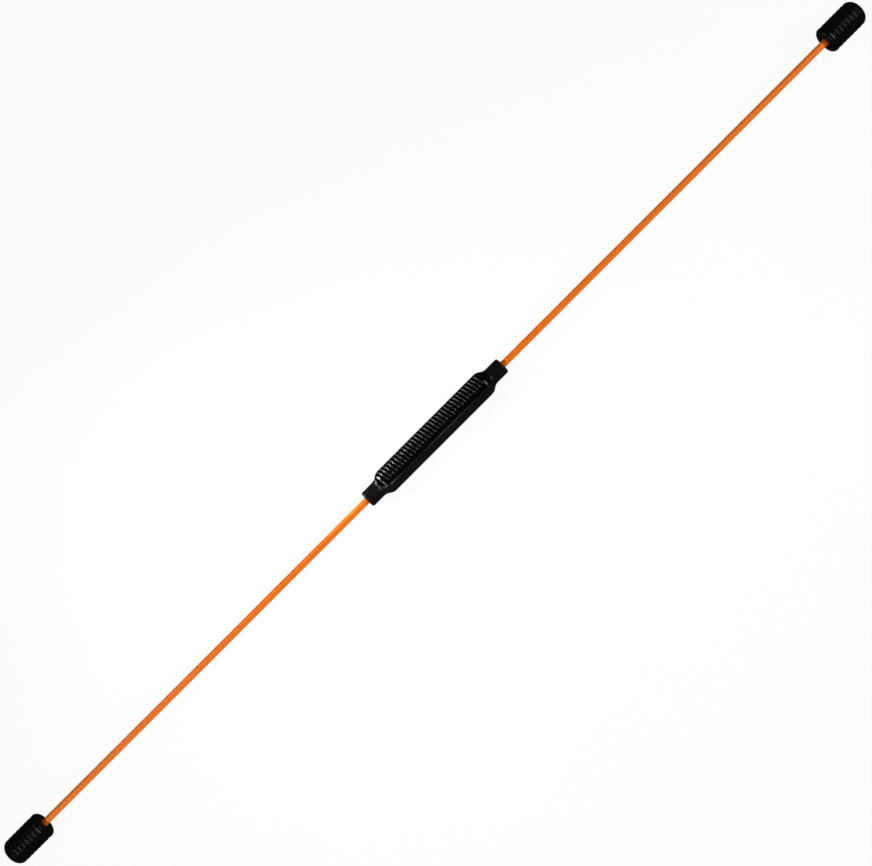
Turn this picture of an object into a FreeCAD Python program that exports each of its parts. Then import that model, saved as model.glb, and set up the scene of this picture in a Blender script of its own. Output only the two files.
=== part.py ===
import FreeCAD, Part
import math
import os
from FreeCAD import Vector

# Flexible swing exercise bar: a ribbed centre grip, two fibreglass rods that
# screw into its ends, and a ringed end weight on each rod.
# Frame: +X along the bar, origin at the middle of the grip on the rod axis,
# ribbed pads facing +Z and -Z. Millimetres.

# ---------------------------------------------------------------- dimensions
TOTAL_LENGTH = 1600.0

# grip body, turned about X
GRIP_R = 18.0
NECK_R = 12.0
GRIP_HALF = 127.8          # half length over the two necks
SHOULDER_IN = 90.0         # where the full diameter ends
SHOULDER_OUT = 108.2       # where the neck starts
NECK_EDGE_R = 3.0          # rounded edge of the neck's mouth
NECK_LIP_R = 8.2           # opening in the lip over the tube's end

# inlaid pads
PAD_HALF_LENGTH = 102.0
PAD_HALF_WIDTH = 14.4      # in plan, 53 degrees each side at the grip's radius
PAD_CORNER_POWER = 7.0     # squareness of the pad's outline
PAD_FLOOR_R = 14.5
PAD_FLOOR_END_R = 10.9
PAD_FLOOR_Z = 7.4          # the recess is no deeper than this plane
FLUTE_PITCH = 5.592
FLUTE_COUNT = 33
FLUTE_R = 2.7              # radius of a flute's rounded section
FLUTE_DEPTH = 1.0
FLUTE_HALF_ANGLE = 29.3    # degrees from the pad's middle to a flute end's ball centre
FLUTE_SLANT = 0.21         # shift along X for each mm across the pad
FLUTE_SHIFT = -1.3         # middle flute's place along X

# core tube, sockets and their pins
TUBE_R = 10.0
TUBE_BORE_R = 8.0
TUBE_HALF = 126.0
SOCKET_IN = 74.0
SOCKET_OUT = 96.0
SOCKET_HOLE_IN = 80.0
SOCKET_HOLE_R = 5.05       # stands for an M10 x 1.5 thread
SOCKET_PIN_X = 77.0
PIN_R = 1.5

# O-ring between socket and ferrule
ORING_X = 97.0
ORING_MAJOR = 6.1
ORING_MINOR = 0.98

# ferrule and stud
FERRULE_IN = 98.0
FERRULE_OUT = 127.8
FERRULE_R = 7.95
FERRULE_EDGE = 0.8
STUD_IN = 81.0
STUD_R = 4.95              # stands for the M10 x 1.5 thread
STUD_TIP_CHAMFER = 1.0
STUD_TAIL_R = 3.9
STUD_TAIL_OUT = 106.0

# rods
ROD_R = 4.75
ROD_IN = 106.5
FLEX_X = 222.0             # equivalent hinge point of the flexing rod
FLEX_CUP_R = 4.85
ROD_OUT = 793.0

# end weights
WEIGHT_R = 19.0
WEIGHT_IN = 736.6
WEIGHT_OUT = TOTAL_LENGTH / 2
WEIGHT_IN_EDGE_R = 5.6
WEIGHT_OUT_EDGE_R = 11.2
RING_PITCH = 6.64           # rounded rings that meet in narrow grooves
RING_FIRST_GROOVE = 747.5
RING_GROOVES = 7
RING_GROOVE_DEPTH = 0.6
SLUG_R = 12.0
SLUG_IN = 751.0
SLUG_OUT = 793.0
WEIGHT_PIN_X = 771.0

os.makedirs("parts", exist_ok=True)
X = Vector(1, 0, 0)
O = Vector(0, 0, 0)


# ------------------------------------------------------------------- helpers
def turned(edges):
    """Solid turned about X from a closed loop of edges in the XZ half plane."""
    wire = Part.Wire(edges)
    if not wire.isClosed():
        raise ValueError("profile is open")
    solid = Part.Face(wire).revolve(O, X, 360)
    return solid if solid.ShapeType == "Solid" else solid.Solids[0]


def p(x, r):
    return Vector(x, 0, r)


def line(a, b):
    return Part.LineSegment(a, b).toShape()


def s_curve(a, b):
    """Smooth step between two radii, tangent to X at both ends."""
    m = (a.x + b.x) / 2
    c = Part.BezierCurve()
    c.setPoles([a, Vector(m, 0, a.z), Vector(m, 0, b.z), b])
    return c.toShape()


def arc(a, mid, b):
    return Part.Arc(a, mid, b).toShape()


def rod(r, x0, x1, x=None):
    lo, hi = min(x0, x1), max(x0, x1)
    return Part.makeCylinder(r, hi - lo, p(lo, 0), X)


def cross_pin(x, r, length, axis):
    d = Vector(*axis)
    return Part.makeCylinder(r, length, Vector(x, 0, 0) - d * (length / 2), d)


def mirrored(shape):
    """The same piece on the other end of the bar."""
    return shape.mirror(O, X)


def turned_end(shape):
    """The same piece on the other end, by half a turn about Z."""
    s = shape.copy()
    s.rotate(O, Vector(0, 0, 1), 180)
    return s


def one_solid(shape, name):
    solids = shape.Solids
    if len(solids) != 1:
        raise ValueError("%s has %d solids" % (name, len(solids)))
    s = solids[0]
    if not s.isValid():
        raise ValueError("%s is not valid" % name)
    return s


made = {}


def save(shape, name):
    s = one_solid(shape, name)
    made[name] = s
    s.exportStep("parts/%s.step" % name)


# ----------------------------------------------------------------- grip body
def both_ends(points):
    """Edges of an outer profile that is the same on both ends of the bar."""
    half_edges = []
    for kind, pts in points:
        half_edges.append((kind, pts))
    edges = []
    for kind, pts in half_edges:
        for sign in (1, -1):
            q = [Vector(sign * v.x, 0, v.z) for v in pts]
            if kind == "line":
                edges.append(line(*q))
            elif kind == "s":
                edges.append(s_curve(*q))
            elif kind == "arc":
                edges.append(arc(*q))
    return edges


def sorted_wire(edges):
    return Part.__sortEdges__(edges)


e = NECK_EDGE_R
k = e * (1 - math.sqrt(0.5))
outer = both_ends([
    ("s", [p(SHOULDER_IN, GRIP_R), p(SHOULDER_OUT, NECK_R)]),
    ("line", [p(SHOULDER_OUT, NECK_R), p(GRIP_HALF - e, NECK_R)]),
    ("arc", [p(GRIP_HALF - e, NECK_R), p(GRIP_HALF - k, NECK_R - k), p(GRIP_HALF, NECK_R - e)]),
    ("line", [p(GRIP_HALF, NECK_R - e), p(GRIP_HALF, 0)]),
])
outer.append(line(p(-SHOULDER_IN, GRIP_R), p(SHOULDER_IN, GRIP_R)))
outer.append(line(p(-GRIP_HALF, 0), p(GRIP_HALF, 0)))
grip_outer = turned(sorted_wire(outer))

# floor of the pads' recess: a little inside the body's surface all the way
floor = both_ends([
    ("s", [p(88.0, PAD_FLOOR_R), p(103.5, PAD_FLOOR_END_R)]),
    ("line", [p(103.5, PAD_FLOOR_END_R), p(108.0, PAD_FLOOR_END_R)]),
    ("line", [p(108.0, PAD_FLOOR_END_R), p(108.0, 0)]),
])
floor.append(line(p(-88.0, PAD_FLOOR_R), p(88.0, PAD_FLOOR_R)))
floor.append(line(p(-108.0, 0), p(108.0, 0)))
pad_floor = turned(sorted_wire(floor))

# outline of a pad in plan: a long rectangle with soft corners, its two ends
# slanted like the flutes
def end_points(sign):
    """Points round one end of the outline, from one long edge to the other."""
    pts = []
    n = 28
    for i in range(n + 1):
        u = -1 + 2.0 * i / n
        a = math.asin(u) if abs(u) < 1 else math.copysign(math.pi / 2, u)
        y = math.copysign(abs(math.sin(a)) ** 0.8, u) * PAD_HALF_WIDTH
        f = abs(y / PAD_HALF_WIDTH)
        x = PAD_HALF_LENGTH - 13.0 * (1 - (1 - f ** PAD_CORNER_POWER) ** (1.0 / 2.2))
        pts.append(Vector(sign * x - FLUTE_SLANT * y, y, PAD_FLOOR_Z))
    return pts


right_end, left_end = end_points(1), end_points(-1)
curves = []
for q in (right_end, left_end):
    b = Part.BSplineCurve()
    b.interpolate(q, InitialTangent=Vector(1 if q is right_end else -1, 0, 0),
                  FinalTangent=Vector(-1 if q is right_end else 1, 0, 0))
    curves.append(b.toShape())
outline = Part.Wire(sorted_wire(curves + [
    line(right_end[-1], left_end[-1]), line(left_end[0], right_end[0])]))
prism = Part.Face(outline).extrude(Vector(0, 0, GRIP_R + 4 - PAD_FLOOR_Z))

pad_blank = one_solid(grip_outer.common(prism).cut(pad_floor), "pad blank")
pad_blank_low = pad_blank.copy()
pad_blank_low.rotate(O, X, 180)

tube_hole = rod(TUBE_R, -TUBE_HALF, TUBE_HALF)
lip_hole = rod(NECK_LIP_R, -GRIP_HALF - 1, GRIP_HALF + 1)
grip_body = grip_outer.cut(tube_hole).cut(lip_hole).cut(pad_blank).cut(pad_blank_low)
save(grip_body, "grip_body")

# ribbed pads: slanted rounded flutes across the pad, each with ball-shaped ends
grooves = []
flute_major = GRIP_R - FLUTE_DEPTH + FLUTE_R
for i in range(FLUTE_COUNT):
    x = FLUTE_SHIFT + (i - (FLUTE_COUNT - 1) / 2.0) * FLUTE_PITCH
    ring = Part.Face(Part.Wire([Part.Circle(p(x, flute_major), Vector(0, 1, 0), FLUTE_R).toShape()]))
    ring.rotate(O, X, -FLUTE_HALF_ANGLE)
    cutter = ring.revolve(O, X, 2 * FLUTE_HALF_ANGLE)
    cutter = cutter if cutter.ShapeType == "Solid" else Part.Solid(cutter.Shells[0])
    for side in (-1, 1):
        a = math.radians(side * FLUTE_HALF_ANGLE)
        cutter = cutter.fuse(Part.makeSphere(
            FLUTE_R, Vector(x, flute_major * math.sin(a), flute_major * math.cos(a))))
    cutter.rotate(Vector(x, 0, 0), Vector(0, 0, 1), math.degrees(math.atan(FLUTE_SLANT)))
    grooves.append(cutter)
pad = pad_blank.cut(grooves)
save(pad, "grip_pad_top")
pad_low = pad.copy()
pad_low.rotate(O, X, 180)
save(pad_low, "grip_pad_bottom")

# ------------------------------------------------ core tube, sockets and pins
tube = rod(TUBE_R, -TUBE_HALF, TUBE_HALF).cut(rod(TUBE_BORE_R, -TUBE_HALF - 1, TUBE_HALF + 1))
for sx in (-1, 1):
    tube = tube.cut(cross_pin(sx * SOCKET_PIN_X, PIN_R, 2 * TUBE_R + 2, (0, 1, 0)))
save(tube, "core_tube")

pin_full = cross_pin(SOCKET_PIN_X, PIN_R, 4 * TUBE_R, (0, 1, 0))
socket = rod(TUBE_BORE_R, SOCKET_IN, SOCKET_OUT)
socket = socket.cut(rod(SOCKET_HOLE_R, SOCKET_HOLE_IN, SOCKET_OUT + 1)).cut(pin_full)
lead_in = Part.makeCone(SOCKET_HOLE_R, SOCKET_HOLE_R + 0.8, 0.8, p(SOCKET_OUT - 0.8, 0), X)
socket = socket.cut(lead_in)
socket_pin = pin_full.common(rod(TUBE_R, SOCKET_PIN_X - 5, SOCKET_PIN_X + 5))

# ------------------------------------------------------------ ferrule, stud
f = FERRULE_EDGE
ferrule = turned([
    line(p(FERRULE_IN, 0), p(FERRULE_IN, FERRULE_R - f)),
    line(p(FERRULE_IN, FERRULE_R - f), p(FERRULE_IN + f, FERRULE_R)),
    line(p(FERRULE_IN + f, FERRULE_R), p(FERRULE_OUT - f, FERRULE_R)),
    line(p(FERRULE_OUT - f, FERRULE_R), p(FERRULE_OUT, FERRULE_R - f)),
    line(p(FERRULE_OUT, FERRULE_R - f), p(FERRULE_OUT, 0)),
    line(p(FERRULE_OUT, 0), p(FERRULE_IN, 0)),
])
ferrule = ferrule.cut(rod(ROD_R, ROD_IN, FERRULE_OUT + 1))
ferrule = ferrule.cut(rod(STUD_TAIL_R, FERRULE_IN - 1, STUD_TAIL_OUT))
c = STUD_TIP_CHAMFER
stud = turned([
    line(p(STUD_IN, 0), p(STUD_IN, STUD_R - c)),
    line(p(STUD_IN, STUD_R - c), p(STUD_IN + c, STUD_R)),
    line(p(STUD_IN + c, STUD_R), p(FERRULE_IN, STUD_R)),
    line(p(FERRULE_IN, STUD_R), p(FERRULE_IN, STUD_TAIL_R)),
    line(p(FERRULE_IN, STUD_TAIL_R), p(STUD_TAIL_OUT, STUD_TAIL_R)),
    line(p(STUD_TAIL_OUT, STUD_TAIL_R), p(STUD_TAIL_OUT, 0)),
    line(p(STUD_TAIL_OUT, 0), p(STUD_IN, 0)),
])
o_ring = Part.makeTorus(ORING_MAJOR, ORING_MINOR, p(ORING_X, 0), X)

# ------------------------------------------------------------------- rods
# The rod bends along its length. It is cut at its equivalent hinge point into
# a ball end on the outer length and a shallow cup on the inner length.
rod_inner = rod(ROD_R, ROD_IN, FLEX_X).cut(Part.makeSphere(FLEX_CUP_R, p(FLEX_X, 0)))
rod_outer = rod(ROD_R, FLEX_X, ROD_OUT).fuse(Part.makeSphere(ROD_R, p(FLEX_X, 0))).removeSplitter()
weight_pin_hole = cross_pin(WEIGHT_PIN_X, PIN_R, 4 * SLUG_R, (0, 0, 1))
rod_outer = rod_outer.cut(weight_pin_hole)

# ----------------------------------------------------------------- weights
a1, a2 = WEIGHT_IN_EDGE_R, WEIGHT_OUT_EDGE_R
k1 = a1 * (1 - math.sqrt(0.5))
half, low = RING_PITCH / 2, WEIGHT_R - RING_GROOVE_DEPTH
first = RING_FIRST_GROOVE
last = RING_FIRST_GROOVE + (RING_GROOVES - 1) * RING_PITCH
rim = WEIGHT_IN + a1          # top of the rim, from where it falls to the first groove
rim_w = first - rim
rim_r = (rim_w ** 2 + RING_GROOVE_DEPTH ** 2) / (2 * RING_GROOVE_DEPTH)


def end_r(x):
    """Radius of the rounded outer end at x."""
    c = WEIGHT_OUT - a2
    return WEIGHT_R - a2 + math.sqrt(a2 ** 2 - (x - c) ** 2)


edges = [
    line(p(WEIGHT_IN, 0), p(WEIGHT_IN, WEIGHT_R - a1)),
    arc(p(WEIGHT_IN, WEIGHT_R - a1), p(WEIGHT_IN + k1, WEIGHT_R - k1), p(rim, WEIGHT_R)),
    arc(p(rim, WEIGHT_R), p((rim + first) / 2, WEIGHT_R - rim_r + math.sqrt(rim_r ** 2 - (rim_w / 2) ** 2)),
        p(first, low)),
]
for i in range(RING_GROOVES - 1):
    x = first + (i + 0.5) * RING_PITCH
    edges.append(arc(p(x - half, low), p(x, WEIGHT_R), p(x + half, low)))
rise = last + 3.4             # a slow rise from the last groove to the rounded end
turn = WEIGHT_OUT - a2 * (1 - math.sqrt(0.5))
edges += [
    line(p(last, low), p(rise, end_r(rise))),
    arc(p(rise, end_r(rise)), p(turn, end_r(turn)), p(WEIGHT_OUT, WEIGHT_R - a2)),
    line(p(WEIGHT_OUT, WEIGHT_R - a2), p(WEIGHT_OUT, 0)),
    line(p(WEIGHT_OUT, 0), p(WEIGHT_IN, 0)),
]
shell = turned(edges)
shell = shell.cut(rod(SLUG_R, SLUG_IN, SLUG_OUT)).cut(rod(ROD_R, WEIGHT_IN - 1, ROD_OUT))
slug = rod(SLUG_R, SLUG_IN, SLUG_OUT).cut(rod(ROD_R, SLUG_IN - 1, SLUG_OUT + 1)).cut(weight_pin_hole)
weight_pin = weight_pin_hole.common(rod(SLUG_R, WEIGHT_PIN_X - 5, WEIGHT_PIN_X + 5))

for name, shape in (
    ("threaded_socket", socket),
    ("socket_pin", socket_pin),
    ("rod_ferrule", ferrule),
    ("threaded_stud", stud),
    ("o_ring", o_ring),
    ("rod_inner", rod_inner),
    ("rod_outer", rod_outer),
    ("weight_shell", shell),
    ("weight_core", slug),
    ("weight_pin", weight_pin),
):
    save(shape, name + "_right")
    save(turned_end(shape), name + "_left")

for name in sorted(made):
    b = made[name].BoundBox
    print("%-24s %9.1f mm3  x %8.2f %8.2f  y %6.2f %6.2f  z %6.2f %6.2f" % (
        name, made[name].Volume, b.XMin, b.XMax, b.YMin, b.YMax, b.ZMin, b.ZMax))
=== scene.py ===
import math

import bpy
import numpy as np
from mathutils import Matrix, Vector


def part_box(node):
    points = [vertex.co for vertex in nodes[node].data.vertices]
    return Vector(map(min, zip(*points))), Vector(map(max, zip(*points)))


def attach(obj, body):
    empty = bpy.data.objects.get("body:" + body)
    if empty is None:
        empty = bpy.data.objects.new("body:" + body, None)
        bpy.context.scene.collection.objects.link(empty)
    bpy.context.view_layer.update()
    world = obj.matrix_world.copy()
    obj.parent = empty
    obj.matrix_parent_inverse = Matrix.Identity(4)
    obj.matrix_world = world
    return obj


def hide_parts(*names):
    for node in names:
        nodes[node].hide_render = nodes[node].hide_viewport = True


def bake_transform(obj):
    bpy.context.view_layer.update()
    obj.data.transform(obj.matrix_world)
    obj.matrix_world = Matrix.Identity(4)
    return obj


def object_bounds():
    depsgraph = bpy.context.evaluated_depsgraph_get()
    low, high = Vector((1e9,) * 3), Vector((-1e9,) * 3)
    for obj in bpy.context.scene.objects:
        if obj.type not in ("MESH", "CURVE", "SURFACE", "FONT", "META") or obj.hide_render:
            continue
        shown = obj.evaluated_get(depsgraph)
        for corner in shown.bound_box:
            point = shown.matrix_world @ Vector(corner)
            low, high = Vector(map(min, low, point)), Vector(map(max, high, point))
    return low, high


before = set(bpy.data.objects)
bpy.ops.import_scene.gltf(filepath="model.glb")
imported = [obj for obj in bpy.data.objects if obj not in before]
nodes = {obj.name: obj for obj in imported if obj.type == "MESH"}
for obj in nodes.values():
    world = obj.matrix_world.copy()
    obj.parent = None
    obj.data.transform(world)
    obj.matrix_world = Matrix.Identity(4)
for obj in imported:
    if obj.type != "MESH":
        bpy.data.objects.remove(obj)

CAD_BOX = [list(map(float, c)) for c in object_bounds()]
MM = 0.001

# ------------------------------------------------------------------ geometry
# The bar lies along X with the grip's middle at the origin; phi is measured
# round X from +Z towards -Y.
grip_lo, grip_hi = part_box("grip_body")
rod_lo, rod_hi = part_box("rod_outer_right")
wt_lo, wt_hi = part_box("weight_shell_right")
fer_lo, fer_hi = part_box("rod_ferrule_right")
fer_r = fer_hi.z
GRIP_R, NECK_R, GRIP_HALF = 18.0, 12.0, grip_hi.x / MM
SH_IN, SH_OUT, NECK_EDGE = 90.0, 108.2, 3.0
PAD_HALF_LENGTH, PAD_HALF_WIDTH, PAD_POWER = 102.0, 14.4, 7.0
FLUTE_PITCH, FLUTE_COUNT, FLUTE_R, FLUTE_DEPTH = 5.592, 33, 2.7, 1.0
FLUTE_HALF, FLUTE_SLANT, FLUTE_SHIFT = 29.3, 0.21, -1.3
WEIGHT_R, WEIGHT_IN, WEIGHT_OUT = 19.0, wt_lo.x / MM, wt_hi.x / MM
RING_PITCH, RING_FIRST, RING_COUNT, RING_DEPTH = 6.64, 747.5, 7, 0.6
ROD_R = 4.75


# ------------------------------------------------------------------- meshes
def make_object(name, verts, faces, smooth=True, sharp_deg=None):
    me = bpy.data.meshes.new(name)
    me.from_pydata([tuple(v) for v in verts], [], [tuple(f) for f in faces])
    me.validate()
    me.update()
    ob = bpy.data.objects.new(name, me)
    bpy.context.scene.collection.objects.link(ob)
    me.polygons.foreach_set("use_smooth", np.full(len(me.polygons), smooth))
    if sharp_deg is not None:
        me.set_sharp_from_angle(angle=math.radians(sharp_deg))
    return ob


def turned(name, profile, segs=128, sharp_deg=35, wobble=None):
    """Closed shape turned about X from a loop of (x, r) points, in mm. Points with r 0 are poles."""
    rings, verts, faces = [], [], []
    for x, r in profile:
        if r < 1e-6:
            rings.append([len(verts)])
            verts.append((x * MM, 0.0, 0.0))
        else:
            ring = []
            for k in range(segs):
                a = 2 * math.pi * k / segs
                rr = r + (wobble(x, a) if wobble else 0.0)
                ring.append(len(verts))
                verts.append((x * MM, -rr * math.sin(a) * MM, rr * math.cos(a) * MM))
            rings.append(ring)
    n = len(rings)
    closed = profile[0][1] > 1e-6 or profile[-1][1] > 1e-6
    for i in range(n if closed else n - 1):
        a, b = rings[i], rings[(i + 1) % n]
        if len(a) == 1 and len(b) == 1:
            continue
        for k in range(segs):
            k2 = (k + 1) % segs
            if len(a) == 1:
                faces.append((a[0], b[k2], b[k]))
            elif len(b) == 1:
                faces.append((a[k], a[k2], b[0]))
            else:
                faces.append((a[k], a[k2], b[k2], b[k]))
    ob = make_object(name, verts, faces, sharp_deg=sharp_deg)
    fix_normals(ob)
    return ob


def fix_normals(ob):
    """Outward normals on a closed mesh, by the sign of its volume."""
    import bmesh
    bm = bmesh.new()
    bm.from_mesh(ob.data)
    bmesh.ops.recalc_face_normals(bm, faces=bm.faces)
    if bm.calc_volume(signed=True) < 0:
        bmesh.ops.reverse_faces(bm, faces=bm.faces)
    bm.to_mesh(ob.data)
    bm.free()
    ob.data.update()


def arc_points(cx, cr, rad, a0, a1, n):
    """Points on a profile arc, centre (cx, cr), angles in degrees from +x towards +r."""
    return [(cx + rad * math.cos(math.radians(a0 + (a1 - a0) * i / n)),
             cr + rad * math.sin(math.radians(a0 + (a1 - a0) * i / n))) for i in range(n + 1)]


_t = np.linspace(0, 1, 400)
_bx = SH_IN * (1 - _t) ** 3 + (SH_IN + SH_OUT) * 1.5 * _t * (1 - _t) + SH_OUT * _t ** 3
_br = GRIP_R * (1 - _t) ** 2 * (1 + 2 * _t) + NECK_R * _t ** 2 * (3 - 2 * _t)


def outer_radius(x):
    """Radius of the grip's outside at each x, in mm, up to the mouth's rounded edge."""
    ax = np.abs(np.asarray(x, float))
    r = np.interp(ax, _bx, _br, left=GRIP_R, right=NECK_R)
    e = np.clip(ax - (GRIP_HALF - NECK_EDGE), 0, NECK_EDGE)
    return r - (NECK_EDGE - np.sqrt(np.maximum(NECK_EDGE ** 2 - e ** 2, 0)))


def pad_end(y):
    """Half length of the pad's outline at y, in the slanted coordinate s."""
    f = np.clip(np.abs(y) / PAD_HALF_WIDTH, 0, 1)
    return PAD_HALF_LENGTH - 13.0 * (1 - (1 - f ** PAD_POWER) ** (1 / 2.2))


def pad_edge_distance(s, y):
    """Rough distance inside the pad's outline, in mm; negative outside."""
    side = PAD_HALF_WIDTH - np.abs(y)
    q = np.abs(s) - (PAD_HALF_LENGTH - 9.0)
    end = pad_end(np.minimum(np.abs(y), PAD_HALF_WIDTH * 0.999)) - np.abs(s)
    return np.where(q > 0, np.minimum(side, end * np.where(np.abs(y) > 9, 0.75, 1.0)), side)


def flute_depth(s, arc):
    """Depth of the flutes below the pad's surface. s runs along the bar, arc along a flute."""
    k = math.cos(math.atan(FLUTE_SLANT))
    i = np.clip(np.round((s - FLUTE_SHIFT) / FLUTE_PITCH), -(FLUTE_COUNT // 2), FLUTE_COUNT // 2)
    ds = (s - FLUTE_SHIFT - i * FLUTE_PITCH) * k
    end = GRIP_R * math.radians(FLUTE_HALF)
    over = np.maximum(np.abs(arc) - end, 0)
    rho = np.hypot(ds, over)
    half = math.sqrt(FLUTE_R ** 2 - (FLUTE_R - FLUTE_DEPTH) ** 2)
    inside = np.sqrt(np.maximum(FLUTE_R ** 2 - np.minimum(rho, half) ** 2, 0)) - (FLUTE_R - FLUTE_DEPTH)
    outside = -(rho - half) * 1.15
    h = np.where(rho < half, inside, outside)
    soft = 0.16
    return 0.5 * (h + np.sqrt(h * h + soft * soft)) - 0.02


# ---------------------------------------------------------------- grip body
def grip_shell():
    """The moulded grip: outside with a shallow pocket for each pad, and its bore."""
    seam = 0.28
    xs = [0.0]
    x = 0.0
    while x < GRIP_HALF - 1e-6:
        if 84 < x < 109:
            step = 0.35
        elif x > GRIP_HALF - NECK_EDGE - 0.5:
            step = 0.22
        else:
            step = 1.2
        x = min(x + step, GRIP_HALF)
        xs.append(x)
    xs = np.array(sorted({-v for v in xs} | set(xs)))
    edge = math.degrees(math.asin(PAD_HALF_WIDTH / GRIP_R))
    fine = [edge + d for d in (-2.4, -1.8, -1.4, -1.1, -0.85, -0.6, -0.35, -0.1, 0.15, 0.4, 0.65, 0.9, 1.15, 1.5, 2.0, 2.8)]
    quarter = sorted(set(list(np.arange(0, edge - 3, 2.0)) + fine + list(np.arange(edge + 4, 90, 3.0)) + [90.0]))
    quarter = np.array(quarter)
    phis = np.concatenate([quarter, 180 - quarter[::-1][1:], 180 + quarter[1:], 360 - quarter[::-1][1:-1]])
    ph = np.radians(phis)
    X, P = np.meshgrid(xs, ph, indexing="ij")
    R = outer_radius(X)
    Y = -R * np.sin(P)
    # the lower pad is the upper one turned half a turn about X, so its slant is mirrored in plan
    top = np.cos(P) > 0
    S = np.where(top, X + FLUTE_SLANT * Y, X - FLUTE_SLANT * Y)
    D = pad_edge_distance(S, Y)
    D = np.where(np.abs(np.cos(P)) * R < 6.0, -5.0, D)
    pocket = np.clip((D + seam) / 0.25, 0, 1)
    pocket = pocket * pocket * (3 - 2 * pocket)
    lip = 0.16 * np.exp(-((D + seam + 0.55) / 0.42) ** 2)
    Rr = R - 1.25 * pocket + lip * (R > NECK_R + 0.2)
    verts = np.stack([X * MM, -Rr * np.sin(P) * MM, Rr * np.cos(P) * MM], -1).reshape(-1, 3)
    nx, npn = X.shape
    faces = []
    for i in range(nx - 1):
        a, b = i * npn, (i + 1) * npn
        for j in range(npn):
            j2 = (j + 1) % npn
            faces.append((a + j, a + j2, b + j2, b + j))
    verts = [tuple(v) for v in verts]
    # the mouths and the bore inside, following the tube's pocket
    lip_r, bore_r, tube_half = 8.2, 10.0, 126.0
    inner = [(GRIP_HALF, 9.0 - 0.0), (GRIP_HALF, lip_r + 0.5), (GRIP_HALF - 0.15, lip_r + 0.15),
             (GRIP_HALF - 0.5, lip_r), (tube_half, lip_r), (tube_half, bore_r),
             (-tube_half, bore_r), (-tube_half, lip_r), (-GRIP_HALF + 0.5, lip_r),
             (-GRIP_HALF + 0.15, lip_r + 0.15), (-GRIP_HALF, lip_r + 0.5), (-GRIP_HALF, 9.0)]
    first_ring = list(range(npn))
    last_ring = list(range((nx - 1) * npn, nx * npn))
    prev = last_ring
    for (x, r) in inner[1:-1]:
        ring = []
        for a in ph:
            ring.append(len(verts))
            verts.append((x * MM, -r * math.sin(a) * MM, r * math.cos(a) * MM))
        for j in range(npn):
            j2 = (j + 1) % npn
            faces.append((prev[j], prev[j2], ring[j2], ring[j]))
        prev = ring
    for j in range(npn):
        j2 = (j + 1) % npn
        faces.append((prev[j], prev[j2], first_ring[j2], first_ring[j]))
    ob = make_object("grip_shell", verts, faces, sharp_deg=50)
    fix_normals(ob)
    # how close each point is to the top of the lip, for the painted highlight along the seam's lip
    near = np.zeros(len(ob.data.vertices), dtype=np.float32)
    near[:nx * npn] = np.exp(-((D + seam + 0.40) / 0.45) ** 2).reshape(-1)
    # this attribute masks the painted highlight on the seam's lip
    ob.data.attributes.new("seam_highlight_mask", "FLOAT", "POINT").data.foreach_set("value", near)
    return ob


def ribbed_pad(name, half_turn):
    """One soft pad with slanted round-ended flutes, its edge rounded over."""
    nu, nv = 860, 92
    u = np.linspace(-1, 1, nu)
    v = np.linspace(-1, 1, nv)
    # closer rows near the long edges, so that the rounding there is smooth
    edge_phi = math.asin((PAD_HALF_WIDTH) / GRIP_R)
    vv = np.sign(v) * (1 - (1 - np.abs(v)) ** 1.25)
    P = vv * edge_phi
    Yb = -GRIP_R * np.sin(P)
    U, PP = np.meshgrid(u, P, indexing="ij")
    YY = -GRIP_R * np.sin(PP)
    ue = np.sign(U) * (1 - (1 - np.abs(U)) ** 1.12)
    S = ue * pad_end(YY)
    # solve for x with y taken at the true radius
    X = S - FLUTE_SLANT * YY
    for _ in range(6):
        R = outer_radius(X)
        Yt = -R * np.sin(PP)
        X = S - FLUTE_SLANT * Yt
    R = outer_radius(X)
    Yt = -R * np.sin(PP)
    # distance to the outline along the surface, for the rounded edge
    d_side = GRIP_R * (edge_phi - np.abs(PP))
    d_end = pad_end(YY) - np.abs(S)
    d = np.minimum(d_side, d_end)
    edge_r = 0.55
    e = np.clip(edge_r - d, 0, edge_r)
    drop = edge_r - np.sqrt(np.maximum(edge_r ** 2 - e ** 2, 0))
    depth = flute_depth(X + FLUTE_SLANT * Yt, R * PP)
    Rr = R + 0.02 - drop - np.maximum(depth, 0)
    top = np.stack([X, -Rr * np.sin(PP), Rr * np.cos(PP)], -1)
    Rb = R - 1.15
    bot = np.stack([X, -Rb * np.sin(PP), Rb * np.cos(PP)], -1)
    verts = np.concatenate([top.reshape(-1, 3), bot.reshape(-1, 3)]) * MM
    if half_turn:
        verts = verts * np.array([1, -1, -1])
    n = nu * nv
    faces = []
    for i in range(nu - 1):
        for j in range(nv - 1):
            a = i * nv + j
            faces.append((a, a + 1, a + nv + 1, a + nv))
            faces.append((n + a, n + a + nv, n + a + nv + 1, n + a + 1))
    rim = [i * nv for i in range(nu)] + [(nu - 1) * nv + j for j in range(1, nv)] \
        + [i * nv + nv - 1 for i in range(nu - 2, -1, -1)] + [j for j in range(nv - 2, 0, -1)]
    for a, b in zip(rim, rim[1:] + rim[:1]):
        faces.append((a, b, b + n, a + n))
    ob = make_object(name, verts, faces, sharp_deg=60)
    fix_normals(ob)
    return ob


shell = grip_shell()
pad_top = ribbed_pad("ribbed_pad_top", False)
pad_bottom = ribbed_pad("ribbed_pad_bottom", True)
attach(shell, "handle"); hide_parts("grip_body")
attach(pad_top, "handle"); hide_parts("grip_pad_top")
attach(pad_bottom, "handle"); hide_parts("grip_pad_bottom")


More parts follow.
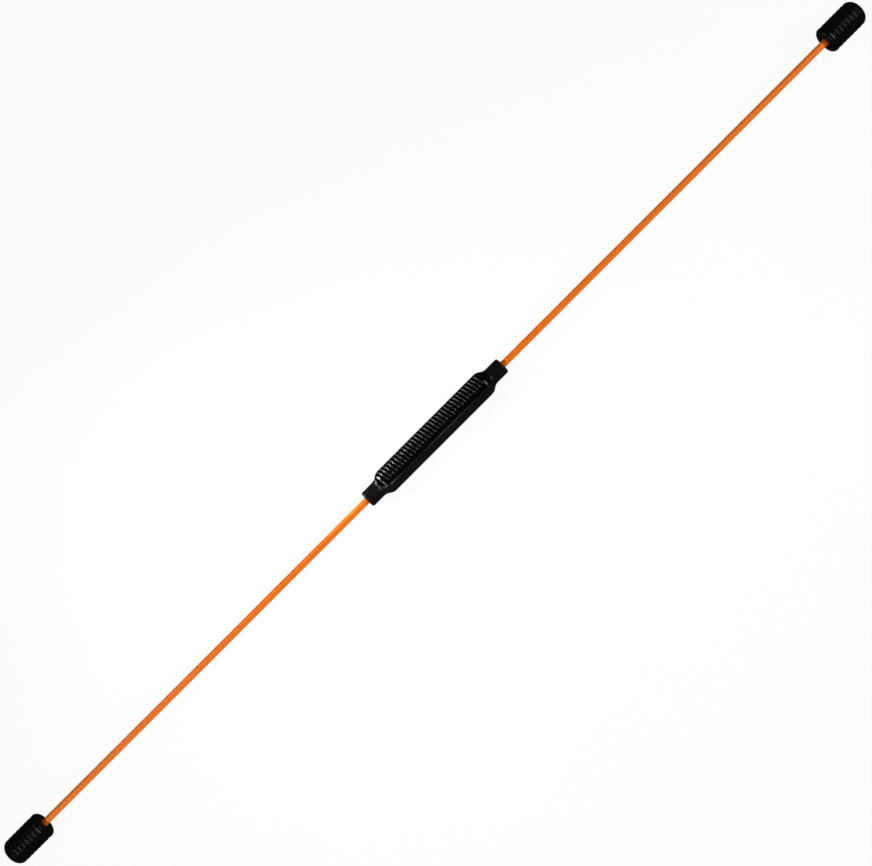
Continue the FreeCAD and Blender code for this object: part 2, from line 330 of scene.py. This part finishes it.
# ---------------------------------------------------------------- end weights
def weight_profile():
    """Outside and inside of a rubber weight, right-hand end, as a closed loop."""
    a1, a2 = 5.6, 11.2
    pts = [(WEIGHT_IN + 1.3, ROD_R + 0.02), (WEIGHT_IN + 1.0, ROD_R + 0.30)]
    pts += [(WEIGHT_IN + 0.6, ROD_R + 0.75), (WEIGHT_IN + 0.1, ROD_R + 1.5), (WEIGHT_IN, ROD_R + 2.3), (WEIGHT_IN, 11.0)]
    pts += arc_points(WEIGHT_IN + a1, WEIGHT_R - a1, a1, 180, 90, 18)
    # six rounded rings that meet in narrow grooves, the last at the start of the rounded end
    first, last = RING_FIRST, RING_FIRST + RING_PITCH * (RING_COUNT - 1)
    half = RING_PITCH / 2
    bead = (half ** 2 + RING_DEPTH ** 2) / (2 * RING_DEPTH)
    rim, rise = WEIGHT_IN + a1, last + 3.4
    rim_r = ((first - rim) ** 2 + RING_DEPTH ** 2) / (2 * RING_DEPTH)

    def surface(x):
        c = WEIGHT_OUT - a2
        base = WEIGHT_R - a2 + math.sqrt(a2 ** 2 - max(x - c, 0) ** 2)
        if x < first:
            return WEIGHT_R - rim_r + math.sqrt(rim_r ** 2 - max(x - rim, 0.0) ** 2)
        elif x > rise:
            return base
        elif x > last:
            top = WEIGHT_R - a2 + math.sqrt(a2 ** 2 - (rise - c) ** 2)
            return WEIGHT_R - RING_DEPTH + (top - WEIGHT_R + RING_DEPTH) * (x - last) / (rise - last)
        else:
            k = (x - first) / RING_PITCH
            dx = (k - math.floor(k) - 0.5) * RING_PITCH
        return min(base, WEIGHT_R - bead + math.sqrt(bead ** 2 - dx ** 2))
    soft = np.linspace(-0.5, 0.5, 9)
    for x in np.arange(WEIGHT_IN + a1 + 0.4, last + 4.4, 0.2):
        # worn a little round at each groove
        rr = sum(surface(float(x + q)) for q in soft) / len(soft)
        pts.append((float(x), min(rr, WEIGHT_R)))
    x_end = pts[-1][0]
    th0 = math.degrees(math.acos((x_end - (WEIGHT_OUT - a2)) / a2))
    pts += arc_points(WEIGHT_OUT - a2, WEIGHT_R - a2, a2, th0, 0, 30)[1:]
    pts += [(WEIGHT_OUT, 6.2), (WEIGHT_OUT - 0.12, 5.9), (WEIGHT_OUT - 0.34, 5.6), (WEIGHT_OUT - 0.36, 0.0)]
    pts += [(793.1, 0.0), (793.1, 12.02), (750.9, 12.02), (750.9, ROD_R + 0.02)]
    return pts


def thread_mesh(name, x0, x1, r_out, r_in, pitch, sign, body, node):
    """A stud with a real helical thread, its tail plain."""
    segs, rows = 72, int((x1 - x0) / 0.1)
    xs = np.linspace(x0, x1, rows + 1)
    a = 2 * np.pi * np.arange(segs) / segs
    X, A = np.meshgrid(xs, a, indexing="ij")
    ph = np.mod(X / pitch - A / (2 * np.pi), 1.0)
    tooth = np.clip(np.abs(ph - 0.5) * 2 * 1.25 - 0.125, 0, 1)
    R = r_in + (r_out - r_in) * tooth
    R = np.minimum(R, r_in - 0.3 + np.minimum(X - x0, 1.6) * 0.8 + 0.25)
    R = np.where(X > x1 - 1.2, r_in, R)
    verts = np.stack([sign * X * MM, -R * np.sin(A) * MM * sign, R * np.cos(A) * MM], -1).reshape(-1, 3)
    verts = [tuple(v) for v in verts]
    faces = []
    for i in range(rows):
        for j in range(segs):
            j2 = (j + 1) % segs
            faces.append((i * segs + j, i * segs + j2, (i + 1) * segs + j2, (i + 1) * segs + j))
    prev = list(range(rows * segs, (rows + 1) * segs))
    for (x, r) in ((x1, 3.88), (106.0 - 0.3, 3.88), (105.98, 3.6)):
        ring = []
        for t in a:
            ring.append(len(verts))
            verts.append((sign * x * MM, -r * math.sin(t) * MM * sign, r * math.cos(t) * MM))
        for j in range(segs):
            j2 = (j + 1) % segs
            faces.append((prev[j], prev[j2], ring[j2], ring[j]))
        prev = ring
    end = len(verts)
    verts.append((sign * 105.98 * MM, 0, 0))
    start = len(verts)
    verts.append((sign * x0 * MM, 0, 0))
    for j in range(segs):
        j2 = (j + 1) % segs
        faces.append((prev[j], prev[j2], end))
        faces.append((j2, j, start))
    ob = make_object(name, verts, faces, sharp_deg=40)
    fix_normals(ob)
    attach(ob, body)
    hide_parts(node)
    return ob


def flip(profile, sign):
    return [(sign * x, r) for x, r in profile]


weights, rods, ferrules, studs, rings = [], [], [], [], []
for side, sign in (("right", 1), ("left", -1)):
    w = turned("weight_sleeve_" + side, flip(weight_profile(), sign), segs=144, sharp_deg=38)
    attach(w, "tip_" + side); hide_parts("weight_shell_" + side)
    weights.append(w)

    # one continuous rod from its ferrule to its weight
    xs = list(np.arange(106.8, 792.9, 3.0)) + [792.7]
    prof = [(106.8, 0.0), (106.8, ROD_R - 0.3)] + [(x, ROD_R) for x in xs[1:-1]] + [(792.7, ROD_R - 0.3), (792.7, 0.0)]

    def grain(x, a):
        return 0.012 * math.sin(7 * a + 0.013 * x) + 0.008 * math.sin(3 * a - 0.031 * x + 1.3)
    r = turned("fibreglass_rod_" + side, flip(prof, sign), segs=48, sharp_deg=50, wobble=grain)
    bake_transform(r)
    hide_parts("rod_inner_" + side, "rod_outer_" + side)
    rods.append(r)

    # turned metal ferrule with a bead of adhesive where the rod leaves it
    fi, fo, fr = fer_lo.x / MM, fer_hi.x / MM, fer_r / MM
    prof = [(106.6, ROD_R + 0.03), (fo - 0.9, ROD_R + 0.03), (fo - 0.45, ROD_R + 0.22), (fo - 0.05, ROD_R + 0.62)]
    prof += [(fo, ROD_R + 0.9), (fo, fr - 0.9)] + arc_points(fo - 0.7, fr - 0.7, 0.7, 0, 90, 6)
    for gx in (124.0, 121.0, 118.0):
        prof += [(gx + 0.45, fr), (gx + 0.3, fr - 0.28), (gx - 0.3, fr - 0.28), (gx - 0.45, fr)]
    prof += [(112.0, fr), (fi + 0.9, fr)] + arc_points(fi + 0.7, fr - 0.7, 0.7, 90, 180, 6)
    prof += [(fi, 4.2), (fi, 3.92), (106.05, 3.92), (106.05, 2.0), (106.4, 2.0), (106.6, 2.4)]
    f = turned("ferrule_" + side, flip(prof, sign), segs=96, sharp_deg=32)
    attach(f, "arm_" + side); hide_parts("rod_ferrule_" + side)
    ferrules.append(f)

    studs.append(thread_mesh("stud_" + side, 81.0, 98.0, 4.93, 4.18, 1.5, sign, "arm_" + side, "threaded_stud_" + side))

    o = turned("seal_ring_" + side, flip(arc_points(97.0, 6.1, 0.97, 0, 360, 32)[:-1], sign), segs=96, sharp_deg=180)
    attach(o, "seal_" + side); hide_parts("o_ring_" + side)
    rings.append(o)


# ---------------------------------------------------------------- materials
def material(name):
    m = bpy.data.materials.new(name)
    m.use_nodes = True
    nt = m.node_tree
    nt.nodes.clear()
    out = nt.nodes.new("ShaderNodeOutputMaterial")
    bs = nt.nodes.new("ShaderNodeBsdfPrincipled")
    nt.links.new(bs.outputs[0], out.inputs[0])
    return m, nt, bs


def coords(nt, scale=(1, 1, 1)):
    tc = nt.nodes.new("ShaderNodeTexCoord")
    mp = nt.nodes.new("ShaderNodeMapping")
    mp.inputs["Scale"].default_value = scale
    nt.links.new(tc.outputs["Object"], mp.inputs["Vector"])
    return mp.outputs["Vector"]


def noise(nt, vec, scale, detail=4.0, rough=0.55):
    n = nt.nodes.new("ShaderNodeTexNoise")
    n.inputs["Scale"].default_value = scale
    n.inputs["Detail"].default_value = detail
    n.inputs["Roughness"].default_value = rough
    nt.links.new(vec, n.inputs["Vector"])
    return n.outputs["Fac"]


def ramp(nt, fac, stops):
    r = nt.nodes.new("ShaderNodeValToRGB")
    el = r.color_ramp.elements
    while len(el) > 1:
        el.remove(el[-1])
    el[0].position, el[0].color = stops[0][0], (*stops[0][1], 1)
    for p, c in stops[1:]:
        e = el.new(p)
        e.color = (*c, 1)
    nt.links.new(fac, r.inputs["Fac"])
    return r.outputs["Color"]


def remap(nt, fac, lo, hi, a=0.0, b=1.0):
    m = nt.nodes.new("ShaderNodeMapRange")
    m.inputs["From Min"].default_value = a
    m.inputs["From Max"].default_value = b
    m.inputs["To Min"].default_value = lo
    m.inputs["To Max"].default_value = hi
    nt.links.new(fac, m.inputs["Value"])
    return m.outputs["Result"]


def bump(nt, bs, height, distance, strength=1.0):
    b = nt.nodes.new("ShaderNodeBump")
    b.inputs["Strength"].default_value = strength
    b.inputs["Distance"].default_value = distance
    nt.links.new(height, b.inputs["Height"])
    nt.links.new(b.outputs["Normal"], bs.inputs["Normal"])


def rubber(name, base, light, spec, rough, grain_mm=0.35, bump_mm=0.02):
    """Moulded black rubber: fine spark-eroded grain, faint mottling, polish that varies a little."""
    m, nt, bs = material(name)
    v = coords(nt)
    fine = noise(nt, v, 1.0 / (grain_mm * MM), 3.0)
    broad = noise(nt, v, 1.0 / 0.022, 4.0)
    col = ramp(nt, broad, [(0.30, base), (0.72, light)])
    nt.links.new(col, bs.inputs["Base Color"])
    nt.links.new(remap(nt, broad, rough - 0.05, rough + 0.07, 0.3, 0.7), bs.inputs["Roughness"])
    bs.inputs["Specular IOR Level"].default_value = spec
    bump(nt, bs, fine, bump_mm * MM, 0.6)
    return m


def paint_seam_highlight(m, colour):
    """A painted highlight: a paler line on the shell's lip beside each pad, clearest towards the left end where the
    light falls, broken up by noise.
    """
    nt = m.node_tree
    bs = next(n for n in nt.nodes if n.type == "BSDF_PRINCIPLED")
    under = bs.inputs["Base Color"].links[0].from_socket
    near = nt.nodes.new("ShaderNodeAttribute")
    near.attribute_name = "seam_highlight_mask"
    tc = nt.nodes.new("ShaderNodeTexCoord")
    xyz = nt.nodes.new("ShaderNodeSeparateXYZ")
    nt.links.new(tc.outputs["Object"], xyz.inputs[0])

    def times(a, b):
        n = nt.nodes.new("ShaderNodeMath")
        n.operation = "MULTIPLY"
        nt.links.new(a, n.inputs[0])
        nt.links.new(b, n.inputs[1])
        return n.outputs[0]

    # painted highlight strength along the bar: brightest near the left end, fading to the right as the light falls off
    along = remap(nt, xyz.outputs["X"], 0.0, 1.0, -0.110, 0.110)
    highlight_falloff = ramp(nt, along, [(at, (v, v, v)) for at, v in (
        (0.040, 0.0), (0.060, 1.0), (0.100, 0.85), (0.170, 0.22), (0.320, 0.16),
        (0.410, 0.40), (0.560, 0.38), (0.660, 0.22), (0.780, 0.0))])
    # noise that breaks up the painted highlight
    highlight_breakup = remap(nt, noise(nt, coords(nt), 26.0, 2.0), 0.15, 1.0, 0.35, 0.65)
    highlight_mask = times(times(near.outputs["Fac"], highlight_falloff), highlight_breakup)
    mix = nt.nodes.new("ShaderNodeMix")
    mix.data_type = "RGBA"
    nt.links.new(highlight_mask, mix.inputs["Factor"])
    nt.links.new(under, mix.inputs["A"])
    mix.inputs["B"].default_value = (*colour, 1)
    nt.links.new(mix.outputs["Result"], bs.inputs["Base Color"])


def metal(name, colour, rough, ring_scale=1400.0):
    """Turned metal: rings along X and slight stain."""
    m, nt, bs = material(name)
    v = coords(nt, (1, 0.02, 0.02))
    lines = noise(nt, v, ring_scale, 2.0)
    v2 = coords(nt)
    broad = noise(nt, v2, 180.0, 4.0)
    dark = tuple(c * 0.72 for c in colour)
    nt.links.new(ramp(nt, broad, [(0.3, dark), (0.7, colour)]), bs.inputs["Base Color"])
    bs.inputs["Metallic"].default_value = 1.0
    nt.links.new(remap(nt, lines, rough - 0.08, rough + 0.12, 0.3, 0.7), bs.inputs["Roughness"])
    bump(nt, bs, lines, 0.012 * MM, 0.7)
    return m


def fibreglass(name):
    """Pigmented pultruded rod under a thin resin skin: long fibre streaks along the rod."""
    m, nt, bs = material(name)
    streak = coords(nt, (6.0, 900.0, 900.0))
    s = noise(nt, streak, 1.0, 3.0, 0.6)
    mott = noise(nt, coords(nt, (1, 1, 1)), 38.0, 3.0)
    c1 = ramp(nt, s, [(0.28, (0.715, 0.148, 0.0035)), (0.5, (0.800, 0.158, 0.0036)), (0.74, (0.850, 0.176, 0.0048))])
    c2 = ramp(nt, mott, [(0.35, (0.93, 0.96, 1.0)), (0.65, (1.0, 1.0, 1.0))])
    mix = nt.nodes.new("ShaderNodeMix")
    mix.data_type = "RGBA"
    mix.blend_type = "MULTIPLY"
    mix.inputs["Factor"].default_value = 1.0
    nt.links.new(c1, mix.inputs["A"])
    nt.links.new(c2, mix.inputs["B"])
    nt.links.new(mix.outputs["Result"], bs.inputs["Base Color"])
    nt.links.new(remap(nt, s, 0.34, 0.46, 0.3, 0.7), bs.inputs["Roughness"])
    bs.inputs["Specular IOR Level"].default_value = 0.14
    bs.inputs["Coat Weight"].default_value = 0.03
    bs.inputs["Coat Roughness"].default_value = 0.25
    bump(nt, bs, s, 0.02 * MM, 0.5)
    return m


MATS = {
    "grip_plastic": rubber("moulded_grip_black", (0.0034, 0.0034, 0.0036), (0.0062, 0.0062, 0.0065), 0.16, 0.25, 0.30, 0.004),
    "pad_rubber": rubber("soft_pad_black", (0.0008, 0.0008, 0.0009), (0.0015, 0.0015, 0.0016), 0.21, 0.12, 0.5, 0.002),
    "weight_rubber": rubber("weight_rubber_black", (0.0020, 0.0020, 0.0018), (0.0034, 0.0034, 0.0031), 0.055, 0.18, 0.45, 0.003),
    "seal_rubber": rubber("seal_black", (0.008, 0.008, 0.008), (0.014, 0.014, 0.014), 0.4, 0.35),
    "tube_metal": metal("tube_aluminium", (0.72, 0.73, 0.75), 0.34),
    "ferrule_metal": metal("ferrule_dark", (0.10, 0.10, 0.105), 0.36),
    "steel": metal("bright_steel", (0.56, 0.57, 0.59), 0.28),
    "slug_steel": metal("slug_steel", (0.36, 0.36, 0.38), 0.42),
    "brass": metal("socket_brass", (0.78, 0.58, 0.26), 0.30),
    "fibreglass": fibreglass("fibreglass_orange"),
}


# pale grey painted highlight along the shell's lip beside each pad
paint_seam_highlight(MATS["grip_plastic"], (0.090, 0.090, 0.092))


def paint(ob, mat):
    ob.data.materials.clear()
    ob.data.materials.append(mat)


paint(shell, MATS["grip_plastic"])
for p in (pad_top, pad_bottom):
    paint(p, MATS["pad_rubber"])
for p in weights:
    paint(p, MATS["weight_rubber"])
for p in rods:
    paint(p, MATS["fibreglass"])
for p in ferrules:
    paint(p, MATS["ferrule_metal"])
for p in studs:
    paint(p, MATS["steel"])
for p in rings:
    paint(p, MATS["seal_rubber"])
KEPT = {"core_tube": "tube_metal"}
for s in ("left", "right"):
    KEPT.update({"threaded_socket_" + s: "brass", "socket_pin_" + s: "steel",
                 "weight_core_" + s: "slug_steel", "weight_pin_" + s: "steel"})
for n, mat in KEPT.items():
    paint(nodes[n], MATS[mat])

# ------------------------------------------------------------------- stage
lo_z = CAD_BOX[0][2]
bpy.ops.mesh.primitive_plane_add(size=14.0, location=(0, 0, lo_z - 0.0004))
floor = bpy.context.object
floor.name = "floor"
fm, fnt, fbs = material("floor_white")
fv = coords(fnt)
fn = noise(fnt, fv, 3.0, 2.0)
fnt.links.new(ramp(fnt, fn, [(0.3, (0.070, 0.070, 0.070)), (0.7, (0.074, 0.074, 0.074))]), fbs.inputs["Base Color"])
fbs.inputs["Roughness"].default_value = 0.9
fbs.inputs["Specular IOR Level"].default_value = 0.0
fbs.inputs["Emission Color"].default_value = (1, 1, 1, 1)
fbs.inputs["Emission Strength"].default_value = 0.93
floor.visible_glossy = False
paint(floor, fm)

world = bpy.data.worlds.new("studio")
bpy.context.scene.world = world
world.use_nodes = True
bg = world.node_tree.nodes["Background"]
bg.inputs["Color"].default_value = (1, 1, 1, 1)
bg.inputs["Strength"].default_value = 0.03


def softbox(name, loc, target, size, power, along=(0, 0, 1), spread=180):
    """Area light facing the target, its second size lying along the given direction."""
    d = bpy.data.lights.new(name, "AREA")
    d.shape = "RECTANGLE"
    d.size, d.size_y = size
    d.energy = power
    d.spread = math.radians(spread)
    o = bpy.data.objects.new(name, d)
    bpy.context.scene.collection.objects.link(o)
    o.location = loc
    z = (Vector(loc) - Vector(target)).normalized()
    y = Vector(along)
    y = (y - z * y.dot(z)).normalized()
    x = y.cross(z)
    o.rotation_mode = "QUATERNION"
    o.rotation_quaternion = Matrix((
        (x.x, y.x, z.x),
        (x.y, y.y, z.y),
        (x.z, y.z, z.z),
    )).to_quaternion()
    return o


# --------------------------------------------------------------- camera
ELEV = math.radians(56.5)
back = Vector((0, -math.cos(ELEV), math.sin(ELEV)))
up0 = Vector((0, math.sin(ELEV), math.cos(ELEV)))
ex = Vector((1, 0, 0))
r45 = math.sqrt(0.5)
right_i = ex * r45 - up0 * r45
up_i = ex * r45 + up0 * r45
cd = bpy.data.cameras.new("camera")
cam = bpy.data.objects.new("camera", cd)
bpy.context.scene.collection.objects.link(cam)
bpy.context.scene.camera = cam
cd.lens, cd.sensor_width = 59.347, 36.0
PX = 0.001341
eye = back * 1.92 + right_i * (1.10 * PX) - up_i * (0.45 * PX)
m = Matrix((
    (right_i.x, up_i.x, back.x, eye.x),
    (right_i.y, up_i.y, back.y, eye.y),
    (right_i.z, up_i.z, back.z, eye.z),
    (0, 0, 0, 1),
))
cam.matrix_world = m
cd.clip_start, cd.clip_end = 0.05, 50

# ------------------------------------------------------------------- lights
def gridded(name, loc, target, size, glow, spread, along):
    """A soft light behind a grid: its glow is set, and the power follows from its size and the grid."""
    h = math.radians(spread / 2)
    share = 2 * (math.sin(h) ** 2 / 2 - (h / 2 - math.sin(2 * h) / 4) / math.tan(h))
    softbox(name, loc, target, size, glow * math.pi * size[0] * size[1] * share, along, spread)


# a row of gridded lights from low behind to overhead, kept off the rods and weights
for deg, glow in ((12, 28.0), (27, 32.0), (42, 35.0), (57, 50.0), (75, 36.0), (93, 12.0), (112, 36.0)):
    a = math.radians(deg)
    side = -1.0 if deg < 70 else -1.35
    gridded("grid_%02d" % deg, (side, 1.3 * math.cos(a), 1.3 * math.sin(a)), (0, 0, 0), (0.14, 0.34),
            glow, 50, (0, -math.sin(a), math.cos(a)))
# and narrow ones on the left shoulder alone
for deg in (30, 42, 54):
    a = math.radians(deg)
    for k, side in enumerate((-0.86, -1.02, -1.18, -1.34)):
        gridded("kick_%02d_%d" % (deg, k), (side, 1.25 * math.cos(a), 1.25 * math.sin(a)), (-0.1310, 0.004, 0.011),
                (0.11, 0.20), 330.0, 4.0, (0, -math.sin(a), math.cos(a)))
softbox("strip_right", (1.75, -1.40, 1.60), (0.45, 0, 0), (0.2, 2.0), 41.0, (0, 0.75, 0.66))
softbox("strip_left", (-1.75, -1.40, 1.60), (-0.45, 0, 0), (0.2, 2.0), 36.0, (0, 0.75, 0.66))

bpy.context.scene.view_settings.view_transform = "Standard"
bpy.context.scene.view_settings.look = "None"
